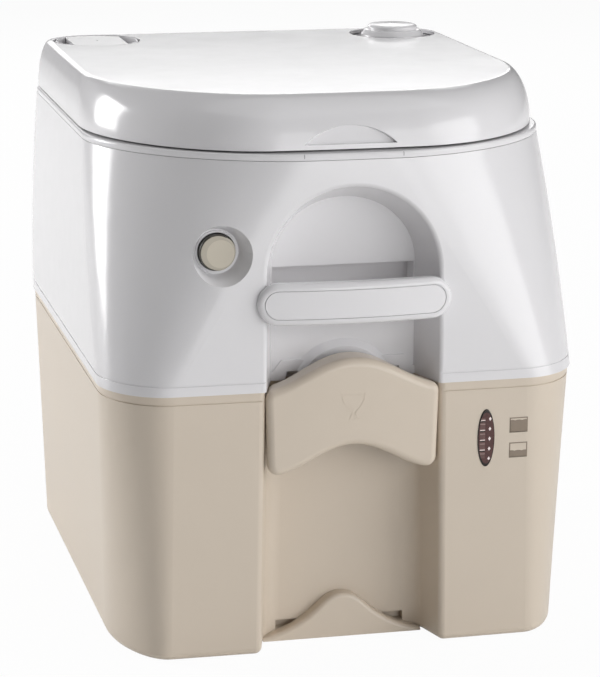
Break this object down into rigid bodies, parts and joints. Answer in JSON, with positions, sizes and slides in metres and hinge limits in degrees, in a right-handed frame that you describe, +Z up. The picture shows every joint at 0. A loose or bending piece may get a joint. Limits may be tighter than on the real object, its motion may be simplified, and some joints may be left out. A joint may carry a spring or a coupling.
{
  "type": "portable toilet",
  "caption": "Two-part portable toilet: white flush-water unit with hinged seat and lid, fill cap and pump, over a tan waste tank with slide valve, spout and level window.",
  "frame": {"origin": "on the floor under the middle of the body, on the tank's flat base", "axes": "+Z up, -Y the front with the valve handle, +X to the right of someone facing the front"},
  "size_m": [0.3432, 0.4145, 0.3975],
  "materials": {
    "white_plastic": "smooth moulded white polyethylene, softly glossy",
    "tan_plastic": "smooth moulded tan polyethylene, satin",
    "seal_rubber": "matte black rubber",
    "steel": "plain stainless steel",
    "lens": "clear-fronted window, dark behind, prismatic",
    "grey_plastic": "grey moulded plastic"
  },
  "bodies": {
    "toilet": {"waste_tank": "tan_plastic", "valve_base": "white_plastic", "valve_cover": "white_plastic", "valve_screws": "steel", "valve_seal_lower": "seal_rubber", "valve_seal_upper": "seal_rubber", "bowl_seal": "seal_rubber", "spout_gasket": "seal_rubber", "vent_cup": "white_plastic", "vent_spring": "steel", "gauge_gasket": "seal_rubber", "gauge_lens": "lens", "upper_shell": "white_plastic", "base_pan": "white_plastic", "bowl": "white_plastic", "carrying_handle": "white_plastic", "handle_plate": "white_plastic", "button_sleeve": "white_plastic", "button_spring": "steel", "flush_valve": "grey_plastic", "flush_hose": "grey_plastic", "pickup_tube": "grey_plastic", "rim_nozzle": "white_plastic", "filler_neck": "white_plastic", "filler_gasket": "seal_rubber", "pump_barrel": "white_plastic", "pump_gland": "white_plastic", "pump_collar": "white_plastic", "pump_spring": "steel", "hinge_brackets": "white_plastic", "hinge_pins": "steel", "latch_pin": "steel"},
    "seat": {"seat": "white_plastic", "seat_bumpers": "seal_rubber"},
    "lid": {"lid": "white_plastic", "lid_bumpers": "seal_rubber"},
    "valve": {"valve_blade": "white_plastic", "valve_handle": "tan_plastic", "handle_pins": "steel"},
    "button": {"flush_button": "tan_plastic"},
    "pump": {"pump_knob": "white_plastic", "pump_rod": "steel", "piston_seal": "seal_rubber"},
    "filler": {"filler_cap": "white_plastic"},
    "spout": {"spout_elbow": "white_plastic"},
    "spout_stopper": {"spout_cap": "tan_plastic", "spout_cap_seal": "seal_rubber"},
    "vent": {"vent_button": "tan_plastic", "vent_seal": "seal_rubber"},
    "latch": {"latch_lever": "tan_plastic"}
  },
  "joints": [
    {"name": "seat_hinge", "type": "hinge", "parent": "toilet", "child": "seat", "pos_m": [0, 0.1975, 0.3536], "axis": [-1, 0, 0], "range_deg": [0, 95]},
    {"name": "lid_hinge", "type": "hinge", "parent": "seat", "child": "lid", "pos_m": [0, 0.1975, 0.3536], "axis": [-1, 0, 0], "range_deg": [0, 95]},
    {"name": "valve_slide", "type": "slide", "parent": "toilet", "child": "valve", "axis": [0, -1, 0], "range_m": [0, 0.092]},
    {"name": "flush_button_press", "type": "slide", "parent": "toilet", "child": "button", "axis": [0, 1, 0], "range_m": [0, 0.005], "stiffness_N_per_m": 400, "springref_m": -0.003, "deforming": ["button_spring"]},
    {"name": "pump_plunge", "type": "slide", "parent": "toilet", "child": "pump", "axis": [0, 0, -1], "range_m": [0, 0.02], "stiffness_N_per_m": 300, "springref_m": -0.012, "deforming": ["pump_spring"]},
    {"name": "filler_cap_turn", "type": "hinge", "parent": "toilet", "child": "filler", "pos_m": [-0.12, 0.149, 0.38], "axis": [0, 0, 1], "range_deg": [0, 120]},
    {"name": "spout_swivel", "type": "hinge", "parent": "toilet", "child": "spout", "pos_m": [0.1, 0.168, 0.142], "axis": [0, 0, -1], "range_deg": [0, 90]},
    {"name": "spout_cap_turn", "type": "hinge", "parent": "spout", "child": "spout_stopper", "pos_m": [-0.012, 0.168, 0.142], "axis": [-1, 0, 0], "range_deg": [0, 360]},
    {"name": "vent_button_press", "type": "slide", "parent": "toilet", "child": "vent", "axis": [0, 0, -1], "range_m": [0, 0.004], "stiffness_N_per_m": 500, "springref_m": -0.004, "deforming": ["vent_spring"]},
    {"name": "latch_release", "type": "hinge", "parent": "toilet", "child": "latch", "pos_m": [0, 0.195, 0.216], "axis": [1, 0, 0], "range_deg": [0, 50]}
  ]
}
